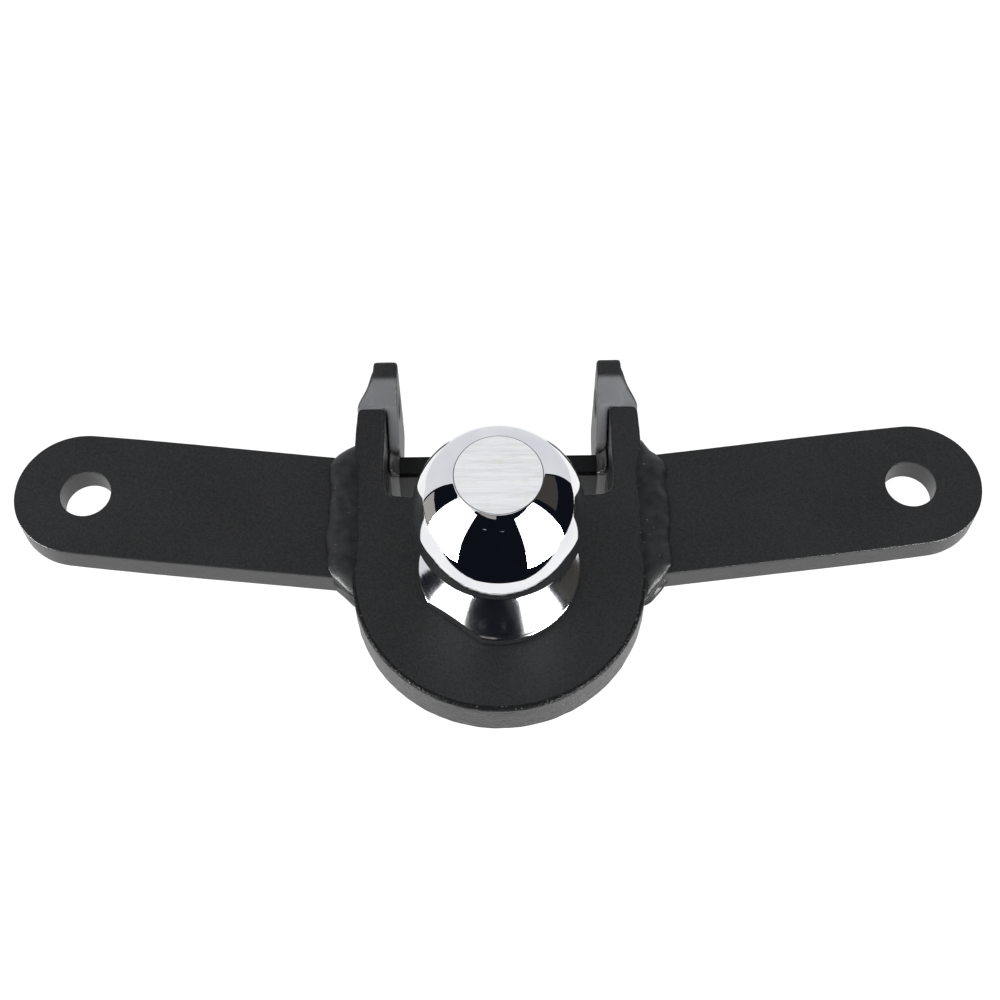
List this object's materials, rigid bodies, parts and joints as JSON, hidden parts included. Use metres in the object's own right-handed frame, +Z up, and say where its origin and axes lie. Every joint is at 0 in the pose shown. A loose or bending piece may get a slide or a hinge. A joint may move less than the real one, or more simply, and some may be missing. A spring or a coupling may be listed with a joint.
{
  "type": "trailer hitch with ball",
  "caption": "Welded plate hitch with swept bolt-on arms and a rear clevis, carrying a chrome tow ball clamped by a lock washer and hex nut.",
  "frame": {"origin": "middle of the clevis pin line, between the two ears, on the middle plane of the tongue plate and the arms", "axes": "+X to the right along the arms and the pin line, +Y towards the vehicle, +Z up along the ball's axis"},
  "size_m": [0.311, 0.1208, 0.1153],
  "materials": {
    "powder_coat": "satin black powder coat with a fine orange-peel texture",
    "coated_weld": "powder coat over weld beads, a little glossier than the plate",
    "chrome": "mirror chrome, with a milled flat on top of the ball",
    "zinc_plate": "bright zinc plating"
  },
  "bodies": {
    "bracket": {"tongue_plate": "powder_coat", "cross_bar": "powder_coat", "left_arm": "powder_coat", "left_ear": "powder_coat", "left_arm_top_weld": "coated_weld", "left_arm_bottom_weld": "coated_weld", "left_arm_front_weld": "coated_weld", "left_arm_rear_weld": "coated_weld", "left_ear_weld": "coated_weld", "left_bar_weld": "coated_weld", "right_arm": "powder_coat", "right_ear": "powder_coat", "right_arm_top_weld": "coated_weld", "right_arm_bottom_weld": "coated_weld", "right_arm_front_weld": "coated_weld", "right_arm_rear_weld": "coated_weld", "right_ear_weld": "coated_weld", "right_bar_weld": "coated_weld", "tow_ball": "chrome"},
    "washer": {"lock_washer": "zinc_plate"},
    "nut": {"hex_nut": "zinc_plate"}
  },
  "joints": [
    {"name": "washer_drop", "type": "slide", "parent": "bracket", "child": "washer", "axis": [0, 0, -1], "range_m": [0, 0.02943]},
    {"name": "nut_spin", "type": "hinge", "parent": "washer", "child": "nut", "pos_m": [0, -0.067, -0.0253], "axis": [0, 0, -1], "range_deg": [0, 5760]}
  ],
  "couplings": [
    {"joint": "washer_drop", "follows": "nut_spin", "m_per_rad": 0.00028875}
  ]
}
